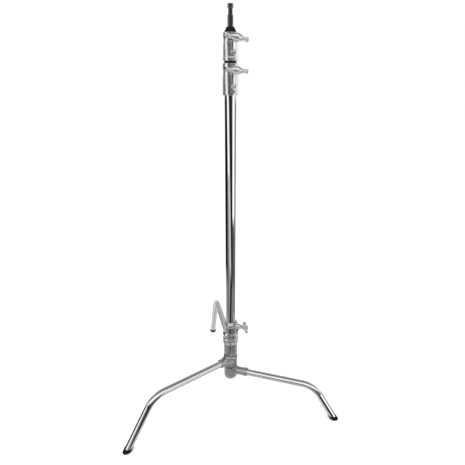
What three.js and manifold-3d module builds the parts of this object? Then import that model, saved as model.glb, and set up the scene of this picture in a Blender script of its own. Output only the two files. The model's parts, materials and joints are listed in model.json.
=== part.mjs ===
// A C-stand with a sliding leg: a chromed column with two risers, three bent legs on cast hubs,
// two riser locks, one sliding-leg lock and a 5/8 inch spigot on top.
// Units are millimetres, +Z is up and the floor is Z = 0.
import * as THREE from 'three';
import { mergeVertices } from 'three/addons/utils/BufferGeometryUtils.js';
import Module from 'manifold-3d';

const wasm = await Module();
wasm.setup();

// Column and risers: outside radius, wall, lower end, upper end.
const COLUMN = { radius: 17.5, wall: 1.5, from: 105.5, to: 1165 };
const RISER_1 = { radius: 15, wall: 1.5, from: 150, to: 1250 };
const RISER_2 = { radius: 12.5, wall: 1.5, from: 185, to: 1288 };

// Legs: direction on the floor, height of the level part, slope of the outer part, and where the
// socket starts and ends, measured from the column's axis.
const LEG = { radius: 12.5, wall: 2, kneeReach: 316, bendRadius: 78, footReach: 420, footHeight: 12 };
const BOTTOM_LEG = { azimuth: 343.7, height: 130, reach: -28, socket: [21, 68], pinAt: 56 };
const MIDDLE_LEG = { azimuth: 215.6, height: 175, reach: 0, socket: [21, 49], pinAt: 41 };
const SLIDING_LEG = { azimuth: 102.2, height: 252, reach: 7, socket: [31, 54], pinAt: 45 };

// Foot plugs: outside radius, depth of the tube's seat, thickness of the material under the seat.
const FOOT = { radius: 13.6, top: 14, tubeEnd: 6 };

// Locks: direction of the screw, height of the screw, distance from the axis to the T-bar.
const COLUMN_LOCK = { azimuth: 295, boltHeight: 1187, barReach: 45, tilt: -4 };
const RISER_1_LOCK = { azimuth: 295, boltHeight: 1268, barReach: 45, tilt: -8 };
const SLIDING_LOCK = { azimuth: 340, boltHeight: 332, barReach: 57, tilt: 117 };

const SCREW_RADIUS = 4;
const ROLL_PIN_RADIUS = 2.5;
const GAP = 0.3;
const ROUND_SIDES = 24;
const LEG_SIDES = 16;
const SMALL_SIDES = 10;

const CHROME = { color: 0xc9cbcc, roughness: 0.12, metalness: 1 };
const CAST_CHROME = { color: 0xb4b4b2, roughness: 0.24, metalness: 1 };
const CAST_GREY = { color: 0x86888a, roughness: 0.5, metalness: 0.9 };
const DARK_STEEL = { color: 0x2c2d30, roughness: 0.3, metalness: 0.9 };
const SPRING_STEEL = { color: 0x6f7174, roughness: 0.35, metalness: 1 };
const BRASS = { color: 0xb08d4c, roughness: 0.35, metalness: 1 };
const NYLON = { color: 0xd8d6cf, roughness: 0.6, metalness: 0 };
const BLACK_PLASTIC = { color: 0x161617, roughness: 0.5, metalness: 0 };
const RUBBER = { color: 0x1b1b1c, roughness: 0.85, metalness: 0 };

// ---------------------------------------------------------------- solids

// Turns a geometry into a closed solid: vertices merged, flat slivers dropped, faces outward.
function solid(geometry) {
  const bare = geometry.clone();
  for (const name of Object.keys(bare.attributes)) {
    if (name !== 'position') bare.deleteAttribute(name);
  }
  const merged = mergeVertices(bare, 1e-4);
  const vertProperties = new Float32Array(merged.attributes.position.array);
  const corners = [];
  for (let i = 0; i < merged.index.count; i += 3) {
    const triangle = [0, 1, 2].map((k) => merged.index.getX(i + k));
    if (new Set(triangle).size === 3) corners.push(triangle);
  }
  if (signedVolume(vertProperties, corners) < 0) {
    corners.forEach((triangle) => triangle.reverse());
  }
  const triVerts = new Uint32Array(corners.flat());
  return new wasm.Manifold(new wasm.Mesh({ numProp: 3, vertProperties, triVerts }));
}

function signedVolume(positions, corners) {
  const vertex = (i) => new THREE.Vector3().fromArray(positions, 3 * i);
  let total = 0;
  for (const [a, b, c] of corners) {
    total += vertex(a).dot(vertex(b).cross(vertex(c)));
  }
  return total / 6;
}

function toGeometry(manifold) {
  const { vertProperties, triVerts } = manifold.getMesh();
  const geometry = new THREE.BufferGeometry();
  geometry.setAttribute('position', new THREE.BufferAttribute(new Float32Array(vertProperties), 3));
  geometry.setIndex(new THREE.BufferAttribute(new Uint32Array(triVerts), 1));
  geometry.computeVertexNormals();
  return geometry;
}

function join(first, ...others) {
  return others.reduce((whole, other) => whole.add(other), first);
}

function cut(first, ...others) {
  return others.reduce((whole, other) => whole.subtract(other), first);
}

// A turned piece about Z. The outline is [radius, z] pairs and starts and ends on the axis.
function turned(outline, sides = ROUND_SIDES) {
  const points = outline.map(([radius, z]) => new THREE.Vector2(radius, z));
  return solid(new THREE.LatheGeometry(points, sides).rotateX(Math.PI / 2));
}

// A turned piece with a hole along Z. The outline closes on itself.
function turnedRing(outline, sides = ROUND_SIDES) {
  return turned([...outline, outline[0]], sides);
}

function tube(outer, inner, from, to, sides = ROUND_SIDES) {
  return turnedRing([[inner, from], [outer, from], [outer, to], [inner, to]], sides);
}

function cylinderZ(radius, from, to, sides = ROUND_SIDES) {
  return turned([[0, from], [radius, from], [radius, to], [0, to]], sides);
}

// A round bar or cone along X at the height z.
function cylinderX(radius, from, to, z, sides = SMALL_SIDES, endRadius = radius) {
  const geometry = new THREE.CylinderGeometry(endRadius, radius, to - from, sides);
  geometry.rotateZ(-Math.PI / 2);
  geometry.translate((from + to) / 2, 0, z);
  return solid(geometry);
}

// A round bar across Y, centred on the XZ plane.
function cylinderY(radius, length, x, z, sides = SMALL_SIDES) {
  return solid(new THREE.CylinderGeometry(radius, radius, length, sides).translate(x, 0, z));
}

// A plate in the XZ plane. The outline is [x, z] pairs, and Y is its thickness.
function plate(outline, thickness) {
  const shape = new THREE.Shape(outline.map(([x, z]) => new THREE.Vector2(x, z)));
  const geometry = new THREE.ExtrudeGeometry(shape, { depth: thickness, bevelEnabled: false });
  return solid(geometry.rotateX(Math.PI / 2).translate(0, thickness / 2, 0));
}

// A box that reaches out from the axis in one direction, for a slit or a notch.
function radialBox(azimuth, reach, width, from, to) {
  const geometry = new THREE.BoxGeometry(reach[1] - reach[0], width, to - from);
  geometry.translate((reach[0] + reach[1]) / 2, 0, (from + to) / 2);
  return solid(geometry.rotateZ(THREE.MathUtils.degToRad(azimuth)));
}

function piece(name, shape, finish) {
  const mesh = new THREE.Mesh(toGeometry(shape), new THREE.MeshStandardMaterial(finish));
  mesh.name = name;
  return mesh;
}

// A group turned about the column, so that its +X points away from the axis.
function facing(azimuth, pieces) {
  const group = new THREE.Group();
  group.rotation.z = THREE.MathUtils.degToRad(azimuth);
  group.add(...pieces);
  return group;
}

// ---------------------------------------------------------------- column and risers

function mastTube({ radius, wall, from, to }, pinHeight) {
  const bare = tube(radius, radius - wall, from, to);
  return pinHeight ? cut(bare, cylinderY(ROLL_PIN_RADIUS + GAP, 4 * radius, 0, pinHeight)) : bare;
}

// The plastic plug that closes the foot of the column inside the bottom hub.
function columnEndPlug() {
  const bore = COLUMN.radius - COLUMN.wall;
  return turned([
    [0, 101], [13.4, 101], [13.4, 105.2], [bore - 0.4, 105.8], [bore - 0.4, 116], [12, 118], [0, 118],
  ]);
}

// A nylon guide plug: its flange slides in the outer tube and its spigot turns in the riser.
function guidePlug(outerTube, riser) {
  const flange = outerTube.radius - outerTube.wall - 0.4;
  const spigot = riser.radius - riser.wall - GAP;
  const end = riser.from - GAP;
  return turnedRing([
    [4, end - 8], [flange - 1, end - 8], [flange, end - 7], [flange, end],
    [spigot, end], [spigot, end + 14], [spigot - 1.5, end + 16], [4, end + 16],
  ]);
}

function stopRing() {
  const [low, high] = [1207.3, 1212.7];
  return turnedRing([
    [15.4, low], [17.2, low], [17.9, low + 0.8], [17.9, high - 0.8], [17.2, high], [15.4, high],
  ]);
}

// ---------------------------------------------------------------- spigot

const SPIGOT = { radius: 8, waist: 6, foot: 1235, pinHeight: 1262, top: 1354 };

function spigot() {
  const plugRadius = RISER_2.radius - RISER_2.wall - 0.4;
  const { radius, waist, foot, top } = SPIGOT;
  const bar = turned([
    [0, foot], [plugRadius - 1, foot], [plugRadius, foot + 1.5], [plugRadius, 1287.4], [radius, 1288.6],
    [radius, 1326], [waist, 1328], [waist, 1342], [radius, 1344], [radius, top - 1.6],
    [radius - 1.2, top], [0, top],
  ]);
  return cut(bar, cylinderY(ROLL_PIN_RADIUS + GAP, 40, 0, SPIGOT.pinHeight));
}

function topCap() {
  const hole = SPIGOT.radius + GAP + 0.1;
  const seat = RISER_2.radius + GAP;
  return turnedRing([
    [seat, 1284.3], [16.4, 1284.3], [16.8, 1285.2], [16.2, 1288], [12.4, 1296.4], [11.6, 1297.7],
    [11, 1298], [hole, 1298], [hole, 1289.2], [seat, 1288.4],
  ]);
}

// ---------------------------------------------------------------- locks

// A riser lock is a cast sleeve on its lower tube with a narrower bore for the riser. It has a boss
// for the screw, a rib below the boss and a riveted pad seat below the rib.
function lockCasting({ bottom, step, top, radii, bores, boltHeight, rivetHeight }) {
  const [footRim, lower, upper, headRim] = radii;
  const barrel = turned([
    [0, bottom], [footRim - 0.8, bottom], [footRim, bottom + 1], [footRim, bottom + 8],
    [lower, bottom + 10], [lower, step], [upper, step + 5], [upper, top - 14],
    [headRim, top - 11], [headRim, top - 1.2], [headRim - 1.2, top], [0, top],
  ]);
  const boss = cylinderX(10.5, 12, 31, boltHeight, 14, 8);
  const rib = plate([
    [14, boltHeight + 4], [26, boltHeight - 4], [lower + 2.2, boltHeight - 20],
    [lower + 1.4, rivetHeight], [14, rivetHeight],
  ], 5);
  const rivetSeat = cylinderX(6.4, 14, lower + 1.8, rivetHeight, 14);
  return cut(
    join(barrel, boss, rib, rivetSeat),
    cylinderZ(bores[0], bottom - 1, step + 0.3),
    cylinderZ(bores[1], step, top + 1),
    cylinderX(SCREW_RADIUS + GAP, 8, 40, boltHeight),
    cylinderX(3.3, bores[0] + 1.2, 40, rivetHeight),
  );
}

function rivet(inner, outer, z) {
  return cylinderX(3, inner, outer, z);
}

// The pad is pressed on the tube by the end of the screw.
function brakePad(tubeRadius, thickness, z) {
  return cylinderX(3.9, tubeRadius + 0.4, tubeRadius + 0.4 + thickness, z);
}

function lockScrew(tip, end) {
  return cylinderX(SCREW_RADIUS, tip, end, 0);
}

// A T-bar turned about its own length, with trumpet ends and a thick middle that holds the screw.
function handleBar() {
  const half = [
    [11.2, 0], [10.6, 5.5], [7.4, 13], [5, 20], [4.7, 25], [6.9, 29.4], [6.9, 31], [5.6, 31.8],
  ];
  const mirrored = half.slice(1).reverse().map(([radius, z]) => [radius, -z]);
  const bar = turned([[0, -31.8], ...mirrored, ...half, [0, 31.8]], 12).rotate([90, 0, 0]);
  const neck = cylinderX(7.4, -12.5, 0, 0, 12, 9);
  return cut(join(bar, neck), cylinderX(SCREW_RADIUS + GAP, -20, 4, 0));
}

// The screw and its handle stand in a group on the screw's own axis.
function lockGroup(name, { azimuth, boltHeight, barReach, tilt }, screwTip) {
  const handle = piece(`${name}_handle`, handleBar(), CAST_CHROME);
  handle.position.x = barReach;
  handle.rotation.x = THREE.MathUtils.degToRad(tilt);
  const screw = piece(`${name}_screw`, lockScrew(screwTip, barReach + 3.6), SPRING_STEEL);
  const onAxis = new THREE.Group();
  onAxis.position.z = boltHeight;
  onAxis.add(screw, handle);
  return facing(azimuth, [onAxis]);
}

function columnLock() {
  const { azimuth, boltHeight } = COLUMN_LOCK;
  const casting = lockCasting({
    bottom: 1123, step: 1166, top: 1207, radii: [22.8, 22.6, 21.4, 22.5],
    bores: [18, 15.6], boltHeight, rivetHeight: 1145,
  });
  return [
    facing(azimuth, [
      piece('column_lock_casting', casting, CAST_CHROME),
      piece('column_lock_rivet', rivet(19.5, 23.4, 1145), SPRING_STEEL),
      piece('column_lock_pad', brakePad(RISER_1.radius, 3.4, boltHeight), BRASS),
    ]),
    lockGroup('column_lock', COLUMN_LOCK, 19.2),
  ];
}

function riserLock() {
  const { azimuth, boltHeight } = RISER_1_LOCK;
  const casting = lockCasting({
    bottom: 1213, step: 1250.4, top: 1284, radii: [21.4, 21, 19.5, 21],
    bores: [15.5, 13.1], boltHeight, rivetHeight: 1233,
  });
  return [
    facing(azimuth, [
      piece('riser_1_lock_casting', casting, CAST_CHROME),
      piece('riser_1_lock_rivet', rivet(17.1, 21.8, 1233), SPRING_STEEL),
      piece('riser_1_lock_pad', brakePad(RISER_2.radius, 3.4, boltHeight), BRASS),
    ]),
    lockGroup('riser_1_lock', RISER_1_LOCK, 16.7),
  ];
}

// ---------------------------------------------------------------- legs

// The centre line of a leg: level, then a round bend, then straight down to the foot. Its parameter
// puts most of the sections in the bend.
class LegPath extends THREE.Curve {
  constructor(start, knee, end, bendRadius, steps) {
    super();
    const inward = start.clone().sub(knee).normalize();
    const outward = end.clone().sub(knee).normalize();
    const halfAngle = inward.angleTo(outward) / 2;
    const toCentre = inward.clone().add(outward).normalize();
    this.start = start;
    this.end = end;
    this.centre = knee.clone().addScaledVector(toCentre, bendRadius / Math.sin(halfAngle));
    this.bendStart = knee.clone().addScaledVector(inward, bendRadius / Math.tan(halfAngle));
    this.bendEnd = knee.clone().addScaledVector(outward, bendRadius / Math.tan(halfAngle));
    this.straight = 1 / steps;
  }

  getUtoTmapping(u) {
    return u;
  }

  getPoint(t, target = new THREE.Vector3()) {
    const { start, end, centre, bendStart, bendEnd, straight } = this;
    if (t <= straight) return target.lerpVectors(start, bendStart, t / straight);
    if (t >= 1 - straight) return target.lerpVectors(bendEnd, end, (t - 1 + straight) / straight);
    const from = bendStart.clone().sub(centre);
    const to = bendEnd.clone().sub(centre);
    const sweep = from.angleTo(to);
    const angle = (sweep * (t - straight)) / (1 - 2 * straight);
    target.copy(from).multiplyScalar(Math.sin(sweep - angle) / Math.sin(sweep));
    return target.addScaledVector(to, Math.sin(angle) / Math.sin(sweep)).add(centre);
  }
}

// Places on a leg's centre line, in the leg's own plane.
function legLine({ height, reach, socket }) {
  const knee = new THREE.Vector3(LEG.kneeReach, 0, height);
  const sole = new THREE.Vector3(LEG.footReach + reach, 0, LEG.footHeight);
  const down = sole.clone().sub(knee).normalize();
  const onFloor = sole.clone().addScaledVector(down, -sole.z / down.z);
  const slope = Math.asin(-down.z);
  const end = onFloor.clone().addScaledVector(down, 14);
  const start = new THREE.Vector3(socket[0] + GAP, 0, height);
  return { start, knee, end, down, onFloor, slope };
}

// Everything near a leg between two heights.
function layer(low, high) {
  return solid(new THREE.BoxGeometry(1200, 200, high - low).translate(0, 0, (low + high) / 2));
}

function legTube(leg) {
  const { start, knee, end } = legLine(leg);
  const steps = 10;
  const section = new THREE.Shape().absarc(0, 0, LEG.radius, 0, 2 * Math.PI);
  section.holes.push(new THREE.Path().absarc(0, 0, LEG.radius - LEG.wall, 0, 2 * Math.PI, true));
  const path = new LegPath(start, knee, end, LEG.bendRadius, steps);
  const options = { steps, extrudePath: path, curveSegments: LEG_SIDES / 2 };
  const bent = solid(new THREE.ExtrudeGeometry(section, options));
  const pinHole = cylinderY(ROLL_PIN_RADIUS + GAP, 60, leg.pinAt, leg.height);
  return cut(bent, pinHole, layer(-100, FOOT.tubeEnd));
}

// A rubber boot on the end of the tube, flat where it stands on the floor.
function foot(leg) {
  const { onFloor, slope } = legLine(leg);
  const lean = THREE.MathUtils.radToDeg(Math.PI / 2 + slope);
  const along = (radius, sides) => cylinderZ(radius, -80, 80, sides)
    .rotate([0, lean, 0])
    .translate([onFloor.x, 0, 0]);
  const socket = cut(along(LEG.radius + GAP, LEG_SIDES), layer(-100, FOOT.tubeEnd - GAP));
  return cut(along(FOOT.radius, LEG_SIDES), layer(-100, 0), layer(FOOT.top, 200), socket);
}

function rollPin() {
  return tube(ROLL_PIN_RADIUS, 1.3, -15.4, 15.4, SMALL_SIDES).rotate([90, 0, 0]);
}

// The socket's outside, and the hole for the tube and its roll pin.
function socketBoss({ height, socket }, from) {
  const [, end] = socket;
  return join(
    cylinderX(15.6, from, end - 5, height, LEG_SIDES),
    cylinderX(16, end - 6, end, height, LEG_SIDES),
  );
}

function socketBore({ height, socket, pinAt }) {
  return join(
    cylinderX(LEG.radius + GAP, socket[0], socket[1] + 5, height, LEG_SIDES),
    cylinderY(ROLL_PIN_RADIUS + GAP, 60, pinAt, height),
  );
}

function legGroup(name, leg, hub, extras = []) {
  const pin = piece(`${name}_pin`, rollPin(), SPRING_STEEL);
  pin.position.set(leg.pinAt, 0, leg.height);
  return facing(leg.azimuth, [
    hub,
    piece(`${name}_tube`, legTube(leg), CHROME),
    piece(`${name}_foot`, foot(leg), RUBBER),
    pin,
    ...extras,
  ]);
}

// ---------------------------------------------------------------- hubs

// The bottom hub is fixed to the column. Its cross rivet shows on one side.
function bottomHub() {
  const rivetAzimuth = 245 - BOTTOM_LEG.azimuth;
  const barrel = turned([
    [0, 99], [18.5, 99], [21.6, 100.4], [23.2, 104], [23.7, 112], [23.7, 147.6], [22.9, 149], [0, 149],
  ]);
  const rivetSeat = cylinderX(6, 14, 24.6, 123, 14).rotate([0, 0, rivetAzimuth]);
  const rivetHole = cylinderX(3.3, 18.8, 40, 123).rotate([0, 0, rivetAzimuth]);
  const shape = cut(
    join(barrel, socketBoss(BOTTOM_LEG, 10), rivetSeat),
    cylinderZ(COLUMN.radius + 0.5, 105.2, 160),
    cylinderZ(13.8, 90, 106),
    socketBore(BOTTOM_LEG),
    rivetHole,
  );
  const rivetShape = rivet(19.1, 23.8, 123).rotate([0, 0, rivetAzimuth]);
  return legGroup('bottom_leg', BOTTOM_LEG, piece('bottom_hub', shape, CAST_GREY), [
    piece('bottom_hub_rivet', rivetShape, SPRING_STEEL),
  ]);
}

// The middle hub turns on the column, on a nylon washer.
function middleHub() {
  const notchMiddle = 265 - MIDDLE_LEG.azimuth;
  const barrel = turned([
    [0, 150.6], [23.4, 150.6], [24, 151.6], [24, 172], [25.2, 186], [25.6, 198], [24.6, 201.4],
    [23.4, 202], [0, 202],
  ]);
  const notch = plate([[21, 140], [21, 155.4], [40, 155.4], [40, 140]], 17).rotate([0, 0, notchMiddle]);
  const shape = cut(
    join(barrel, socketBoss(MIDDLE_LEG, 10)),
    cylinderZ(COLUMN.radius + 0.6, 140, 210),
    socketBore(MIDDLE_LEG),
    notch,
  );
  return legGroup('middle_leg', MIDDLE_LEG, piece('middle_hub', shape, CAST_GREY));
}

// The spring cup holds the middle hub down. The split ring above it is clamped to the column, and
// the coil spring stands between the two.
function springStack() {
  const cup = cut(
    turned([
      [0, 204.4], [21.8, 204.4], [22.8, 206], [23.8, 216], [23.8, 257], [23, 258.2], [0, 258.2],
    ]),
    cylinderZ(COLUMN.radius + 0.5, 200, 262),
    cylinderZ(21.3, 221, 262),
    radialBox(270, [19, 30], 1.8, 238, 262),
    cylinderX(2.8, 15, 30, 214).rotate([0, 0, 256]),
  );
  const ring = cut(
    turned([
      [0, 258.6], [26, 258.6], [27.5, 260.2], [27.5, 266.4], [26.4, 268.6], [23.5, 270], [0, 270],
    ]),
    cylinderZ(COLUMN.radius + 0.5, 250, 280),
    radialBox(270, [12, 40], 1.8, 250, 280),
  );
  const screw = cylinderX(2.5, 18.2, 22.4, 214).rotate([0, 0, 256]);
  return [
    piece('hub_washer', tube(22.6, COLUMN.radius + 0.6, 149.3, 150.3), NYLON),
    piece('spring_washer', tube(21.6, COLUMN.radius + 0.6, 202.4, 204), SPRING_STEEL),
    piece('spring_cup', cup, CAST_GREY),
    piece('spring_cup_screw', screw, DARK_STEEL),
    piece('leg_spring', coilSpring(19.6, 1.1, 222.8, 256.8, 5), SPRING_STEEL),
    piece('retaining_ring', ring, CAST_CHROME),
  ];
}

class Helix extends THREE.Curve {
  constructor(radius, from, to, turns) {
    super();
    Object.assign(this, { radius, from, to, turns });
  }

  getPoint(t, target = new THREE.Vector3()) {
    const angle = 2 * Math.PI * this.turns * t;
    const { radius, from, to } = this;
    return target.set(radius * Math.cos(angle), radius * Math.sin(angle), from + (to - from) * t);
  }
}

function coilSpring(radius, wire, from, to, turns) {
  const section = new THREE.Shape().absarc(0, 0, wire, 0, 2 * Math.PI);
  const path = new Helix(radius, from, to, turns);
  return solid(new THREE.ExtrudeGeometry(section, { steps: 12 * turns, extrudePath: path, curveSegments: 3 }));
}

// ---------------------------------------------------------------- sliding leg

// The sliding collar runs up and down the column on a nylon liner and turns on it. The socket
// hangs below the barrel, so it is cut clear of the retaining ring.
function slidingCollar() {
  const boltAzimuth = SLIDING_LOCK.azimuth - SLIDING_LEG.azimuth;
  const { boltHeight } = SLIDING_LOCK;
  const barrel = turned([
    [0, 272.3], [26.4, 272.3], [28.4, 274], [28.6, 279], [27.4, 283], [25, 287], [25, 333],
    [26, 336], [26, 341.4], [24.6, 343], [0, 343],
  ]);
  const boss = cylinderX(11.5, 14, 42, boltHeight, 14, 7.6).rotate([0, 0, boltAzimuth]);
  const rib = plate([
    [16, boltHeight], [38, boltHeight - 5], [27, boltHeight - 28], [16, boltHeight - 38],
  ], 6).rotate([0, 0, boltAzimuth]);
  const bracket = plate([[20, 308], [26, 306], [48, 269], [48, 250], [20, 250]], 24);
  const shape = cut(
    join(barrel, boss, rib, bracket, socketBoss(SLIDING_LEG, 26)),
    cylinderZ(28.9, 220, 272.3),
    cylinderZ(20.8, 240, 320.5),
    cylinderZ(COLUMN.radius + 0.8, 320, 350),
    cylinderX(SCREW_RADIUS + GAP + 0.9, 10, 22.4, boltHeight).rotate([0, 0, boltAzimuth]),
    cylinderX(SCREW_RADIUS + GAP, 10, 50, boltHeight).rotate([0, 0, boltAzimuth]),
    socketBore(SLIDING_LEG),
  );
  const pad = brakePad(COLUMN.radius, 3.6, boltHeight).rotate([0, 0, boltAzimuth]);
  return [
    legGroup('sliding_leg', SLIDING_LEG, piece('sliding_collar', shape, CAST_CHROME), [
      piece('sliding_leg_lock_pad', pad, BRASS),
    ]),
    piece('slide_liner', tube(20.3, COLUMN.radius + 0.5, 272.8, 320), NYLON),
    lockGroup('sliding_leg_lock', SLIDING_LOCK, 21.9),
  ];
}

// ---------------------------------------------------------------- the whole stand

const stand = new THREE.Group();
stand.add(
  piece('column_tube', mastTube(COLUMN), CHROME),
  piece('column_end_plug', columnEndPlug(), BLACK_PLASTIC),
  bottomHub(),
  middleHub(),
  ...springStack(),
  ...slidingCollar(),
  ...columnLock(),
  piece('riser_1_tube', mastTube(RISER_1), CHROME),
  piece('riser_1_guide', guidePlug(COLUMN, RISER_1), NYLON),
  piece('riser_1_stop_ring', stopRing(), BLACK_PLASTIC),
  ...riserLock(),
  piece('riser_2_tube', mastTube(RISER_2, SPIGOT.pinHeight), CHROME),
  piece('riser_2_guide', guidePlug(RISER_1, RISER_2), NYLON),
  piece('top_cap', topCap(), BLACK_PLASTIC),
  piece('spigot', spigot(), DARK_STEEL),
);

const spigotPin = piece('spigot_pin', tube(ROLL_PIN_RADIUS, 1.3, -12.1, 12.1, SMALL_SIDES), SPRING_STEEL);
spigotPin.rotation.x = Math.PI / 2;
spigotPin.position.z = SPIGOT.pinHeight;
stand.add(spigotPin);

// The origin is on the floor in the middle of the space that the stand takes up.
const middle = new THREE.Box3().setFromObject(stand, true).getCenter(new THREE.Vector3());
stand.position.set(-middle.x, -middle.y, 0);

const origin = new THREE.Group();
origin.add(stand);

export default origin;
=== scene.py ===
import json
import math
import bmesh
import bpy
from mathutils import Matrix, Vector

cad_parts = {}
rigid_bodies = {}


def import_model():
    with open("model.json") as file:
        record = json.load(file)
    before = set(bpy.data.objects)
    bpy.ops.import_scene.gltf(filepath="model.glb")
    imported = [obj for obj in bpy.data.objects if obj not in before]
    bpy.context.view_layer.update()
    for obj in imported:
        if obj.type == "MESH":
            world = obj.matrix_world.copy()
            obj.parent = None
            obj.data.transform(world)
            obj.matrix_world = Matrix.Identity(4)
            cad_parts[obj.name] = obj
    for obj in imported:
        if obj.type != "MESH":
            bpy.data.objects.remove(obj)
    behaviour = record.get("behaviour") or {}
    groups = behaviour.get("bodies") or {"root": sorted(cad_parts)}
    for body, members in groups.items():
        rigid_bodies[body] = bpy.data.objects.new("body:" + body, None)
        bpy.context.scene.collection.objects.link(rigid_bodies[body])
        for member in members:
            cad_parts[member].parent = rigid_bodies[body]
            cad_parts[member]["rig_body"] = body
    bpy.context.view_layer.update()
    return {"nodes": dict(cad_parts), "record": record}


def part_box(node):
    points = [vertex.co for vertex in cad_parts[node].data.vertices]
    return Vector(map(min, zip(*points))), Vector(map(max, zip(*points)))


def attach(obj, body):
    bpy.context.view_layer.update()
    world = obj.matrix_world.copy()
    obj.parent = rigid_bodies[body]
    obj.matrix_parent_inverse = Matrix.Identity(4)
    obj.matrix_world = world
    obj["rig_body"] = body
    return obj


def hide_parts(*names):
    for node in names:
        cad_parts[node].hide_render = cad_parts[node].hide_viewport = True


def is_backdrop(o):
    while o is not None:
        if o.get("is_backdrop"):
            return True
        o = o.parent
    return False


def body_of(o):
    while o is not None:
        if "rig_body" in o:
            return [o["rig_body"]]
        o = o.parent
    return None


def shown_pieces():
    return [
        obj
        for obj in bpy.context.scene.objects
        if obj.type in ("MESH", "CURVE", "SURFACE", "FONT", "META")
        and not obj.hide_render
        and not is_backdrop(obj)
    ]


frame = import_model()

# Pieces are modelled in millimetres about the column's axis, then placed in metres.
columnLow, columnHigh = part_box("column_tube")
axisX, axisY = ((columnLow + columnHigh) / 2)[:2]
toMetres = Matrix.Diagonal((0.001, 0.001, 0.001, 1))
onColumn = Matrix.Translation((axisX, axisY, 0)) @ toMetres


def facing(azimuth):
    return onColumn @ Matrix.Rotation(math.radians(azimuth), 4, "Z")


def heights(node):
    low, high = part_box(node)
    return low.z * 1000, high.z * 1000


# ---- mesh helpers

def spun(outline, segments=96, sweep=360.0, closed=True):
    # turns an outline of (radius, height) about Z
    bm = bmesh.new()
    verts = [bm.verts.new((radius, 0, z)) for radius, z in outline]
    edges = [bm.edges.new(pair) for pair in zip(verts, verts[1:])]
    if closed:
        edges.append(bm.edges.new((verts[-1], verts[0])))
    whole = sweep >= 360
    bmesh.ops.spin(bm, geom=verts + edges, cent=(0, 0, 0), axis=(0, 0, 1), dvec=(0, 0, 0),
                   angle=math.radians(min(sweep, 360)), steps=segments, use_merge=whole)
    bmesh.ops.remove_doubles(bm, verts=bm.verts, dist=0.0005)
    if not whole:
        bmesh.ops.holes_fill(bm, edges=[e for e in bm.edges if e.is_boundary], sides=0)
    bmesh.ops.recalc_face_normals(bm, faces=bm.faces)
    return bm


def lathed(outline, segments=96):
    # an outline that starts and ends on the axis
    return spun(outline, segments, closed=False)


def rounded(bm, width, segments=2, sharpest=28):
    edges = [e for e in bm.edges if e.is_manifold and e.calc_face_angle(0) > math.radians(sharpest)]
    bmesh.ops.bevel(bm, geom=edges, offset=width, offset_type="OFFSET", segments=segments, profile=0.5,
                    affect="EDGES", clamp_overlap=True, material=-1)
    bmesh.ops.remove_doubles(bm, verts=bm.verts, dist=0.0005)
    return bm


def moved(bm, matrix):
    bmesh.ops.transform(bm, matrix=matrix, verts=bm.verts)
    return bm


def alongX(bm, z=0.0):
    # lays a turned shape down, so that its axis points away from the column
    return moved(bm, Matrix.Translation((0, 0, z)) @ Matrix.Rotation(math.pi / 2, 4, "Y"))


def alongY(bm, x=0.0, z=0.0):
    return moved(bm, Matrix.Translation((x, 0, z)) @ Matrix.Rotation(math.pi / 2, 4, "X"))


def slab(outline, thickness, soften):
    # a plate in the XZ plane with rounded edges
    bm = bmesh.new()
    face = bm.faces.new([bm.verts.new((x, -thickness / 2, z)) for x, z in outline])
    grown = bmesh.ops.extrude_face_region(bm, geom=[face])["geom"]
    bmesh.ops.translate(bm, vec=(0, thickness, 0),
        verts=[g for g in grown if isinstance(g, bmesh.types.BMVert)])
    bmesh.ops.recalc_face_normals(bm, faces=bm.faces)
    return rounded(bm, soften, 3) if soften else bm


def block(size, centre):
    bm = bmesh.new()
    bmesh.ops.create_cube(bm, size=1)
    return moved(bm, Matrix.Translation(centre) @ Matrix.Diagonal((*size, 1)))


def asObject(bm, name="shape"):
    mesh = bpy.data.meshes.new(name)
    bm.to_mesh(mesh)
    bm.free()
    piece = bpy.data.objects.new(name, mesh)
    bpy.context.scene.collection.objects.link(piece)
    return piece


def settle(piece):
    # applies the modifiers to the mesh
    bpy.context.view_layer.update()
    graph = bpy.context.evaluated_depsgraph_get()
    mesh = bpy.data.meshes.new_from_object(piece.evaluated_get(graph))
    piece.modifiers.clear()
    old, piece.data = piece.data, mesh
    bpy.data.meshes.remove(old)
    return piece


def welded(base, joins=(), cuts=()):
    # one solid from a base shape, the shapes cast onto it and the shapes cut from it
    piece = asObject(base)
    tools = []
    for operation, shapes in (("UNION", joins), ("DIFFERENCE", cuts)):
        for shape in shapes:
            tool = asObject(shape)
            tools.append(tool)
            step = piece.modifiers.new(operation, "BOOLEAN")
            step.operation, step.solver, step.object = operation, "EXACT", tool
    settle(piece)
    for tool in tools:
        bpy.data.objects.remove(tool)
    return piece


def castSkin(piece, voxel, rounds):
    # soft fillets, as a casting has where its walls meet
    remesh = piece.modifiers.new("skin", "REMESH")
    remesh.mode, remesh.voxel_size = "VOXEL", voxel
    soften = piece.modifiers.new("soften", "SMOOTH")
    soften.factor, soften.iterations = 0.5, rounds
    return settle(piece)


def placed(piece, name, place, body, nodes, material, sharpAngle=35):
    # puts a finished shape in the frame, shades it and ties it to its body
    piece.name = piece.data.name = name
    bm = bmesh.new()
    bm.from_mesh(piece.data)
    bmesh.ops.transform(bm, matrix=place, verts=bm.verts)
    rim = bm.verts.layers.float.new("rim")
    for vert in bm.verts:
        angles = [e.calc_face_angle_signed(0) for e in vert.link_edges if e.is_manifold]
        vert[rim] = max(angles, default=0)
    for face in bm.faces:
        face.smooth = True
    for edge in bm.edges:
        edge.smooth = edge.is_manifold and edge.calc_face_angle(0) < math.radians(sharpAngle)
    bm.to_mesh(piece.data)
    bm.free()
    piece.data.materials.clear()
    piece.data.materials.append(material)
    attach(piece, body)
    if nodes:
        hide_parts(*nodes)
    return piece


# ---- materials

def link(tree, source, target):
    tree.links.new(source, target)


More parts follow.
